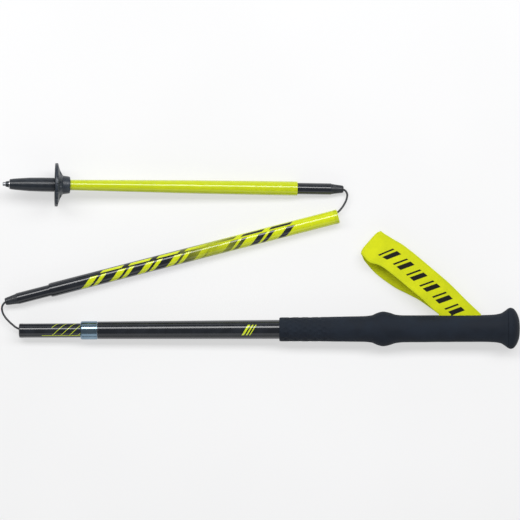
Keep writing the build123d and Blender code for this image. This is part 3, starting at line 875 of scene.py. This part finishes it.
def strap_point(point, across, lower):
    """A point of the strap at (distance, height) on its line, so far across from its middle."""
    out = max(point.x, 0.0)
    across *= 1 - ROOT_GATHER * max(0.0, 1 - out / GATHER_REACH) ** 2
    turn = max(0.0, 1 - out / ROOT_TURN) ** 2
    along = point.x - STRAP_SHEAR * across * turn
    share = across / STRAP_HALF
    sway = smooth_value(LOWER_SWAY if lower else UPPER_SWAY, point.x) - ROOT_SWAY
    corner = CORNER * max(0.0, (point.x - CORNER_FROM) / CORNER_REACH) * abs(share) ** 6
    free = min(1.0, max(0.0, (point.x - FREE_FROM) / FREE_REACH))
    curl = 0.0
    if not lower:
        # the near edge of the upper layer curls out towards the fold
        near = max(0.0, -share) ** 2
        curl = -CURL * near * math.exp(-(((point.x - CURL_AT) / CURL_REACH) ** 2))
    seed = LOWER_SEED if lower else UPPER_SEED
    ripple = RIPPLE * noise.noise(Vector((point.x * RIPPLE_ALONG, across * RIPPLE_ACROSS, seed)))
    cup = (LOWER_CUP if lower else UPPER_CUP) * share * share
    place = STRAP_ROOT + STRAP_ALONG * (along - corner)
    place += STRAP_ACROSS * (across + sway * free + curl)
    place.z = point.y + (ripple + cup) * free
    if lower:
        place.z = max(place.z, LEAST_HEIGHT)
    return place * MM


def make_strap():
    """The wrist strap: one folded loop of webbing from the slot, out, round and back."""
    line = resample(strap_line(), STRAP_ROW)
    fold_at = max(range(len(line)), key=lambda k: line[k].x)
    verts, uvs = [], []
    length = STRAP_ROW * (len(line) - 1)
    for k, point in enumerate(line):
        for n in range(STRAP_COLUMNS + 1):
            across = STRAP_HALF * (2 * n / STRAP_COLUMNS - 1)
            verts.append(strap_point(point, across, k > fold_at))
            uvs.append((STRAP_ROW * k, across))
    # both ends run on into the slot
    rows, row = len(line), STRAP_COLUMNS + 1
    inward = (GRIP.to_3x3() @ Vector((0, -1, 0))) * SLOT_DEEP * MM
    front = [verts[n] + inward for n in range(row)]
    back = [verts[(rows - 1) * row + n] + inward for n in range(row)]
    verts = front + verts + back
    uvs = [(-SLOT_DEEP, uvs[n][1]) for n in range(row)] + uvs
    uvs += [(length + SLOT_DEEP, uvs[n][1]) for n in range(row)]
    faces = []
    for r in range(rows + 1):
        for n in range(STRAP_COLUMNS):
            a = r * row + n
            faces.append((a, a + 1, a + 1 + row, a + row))
    obj = new_object("wrist_strap", verts, faces, WEBBING, uvs)
    solid = obj.modifiers.new("solid", "SOLIDIFY")
    solid.thickness = WEBBING_THICKNESS * MM
    solid.offset = 0
    bevel = obj.modifiers.new("bevel", "BEVEL")
    bevel.width = WEBBING_EDGE * MM
    bevel.segments = 2
    bevel.angle_limit = BEVEL_ANGLE
    apply_modifiers(obj)
    for polygon in obj.data.polygons:
        polygon.use_smooth = True
    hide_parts("strap_loop")
    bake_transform(obj)


make_strap()

# ---- floor, light -------------------------------------------------------------------------
FLOOR_HALF, FLOOR_Z = 8.0, -0.1 * MM  # just below the lowest solid
FLOOR_TONE, FLOOR_TONE_PALE = (0.33, 0.33, 0.333, 1), (0.35, 0.35, 0.353, 1)
TABLE_GLOW = 0.56  # the surface is a lit table, which keeps the shadows pale
WHITE = (1.0, 1.0, 1.0, 1)
ROOM_COLOUR, ROOM_LIGHT = (0.975, 0.985, 1.0, 1), 0.24
# name, place, size along X and across it, power
LIGHTS = [
    ("strip", (0, 0.62, 1.15), (2.8, 0.42), 25),
    ("near_side", (0, -1.75, 0.85), (3.2, 1.2), 8),
    ("far_side", (0, 2.1, 0.7), (3.2, 0.6), 3.5),
]


def make_floor():
    """A plain pale surface."""
    signs = [(-1, -1), (1, -1), (1, 1), (-1, 1)]
    corners = [(x * FLOOR_HALF, y * FLOOR_HALF, FLOOR_Z) for x, y in signs]
    graph = Graph("floor")
    colour = graph.mix(graph.ramp(graph.noise(3, 2), 0.3, 0.7), FLOOR_TONE, FLOOR_TONE_PALE)
    graph.shader.inputs["Emission Color"].default_value = WHITE
    graph.shader.inputs["Emission Strength"].default_value = TABLE_GLOW
    material = graph.finish(colour, graph.ramp(graph.noise(8, 2), 0.3, 0.7, 0.85, 0.95))
    floor = new_object("floor", corners, [(0, 1, 2, 3)], material, smooth=False)


def area_light(name, place, size, power):
    """A rectangular soft light that faces the frame's origin, its long side along X."""
    data = bpy.data.lights.new(name, "AREA")
    data.shape = "RECTANGLE"
    data.size, data.size_y = size
    data.energy = power
    light = bpy.data.objects.new(name, data)
    bpy.context.scene.collection.objects.link(light)
    light.location = place
    away = Vector(place).normalized()
    along = Vector((1, 0, 0))
    across = away.cross(along).normalized()
    light.rotation_euler = Matrix((along, across, away)).transposed().to_euler()


def make_room():
    """A dim room, with colours shown as they are."""
    scene = bpy.context.scene
    scene.view_settings.view_transform = "Standard"
    scene.world = bpy.data.worlds.new("world")
    scene.world.use_nodes = True
    background = scene.world.node_tree.nodes["Background"]
    background.inputs["Color"].default_value = ROOM_COLOUR
    background.inputs["Strength"].default_value = ROOM_LIGHT


make_floor()
make_room()
for light_row in LIGHTS:
    area_light(*light_row)
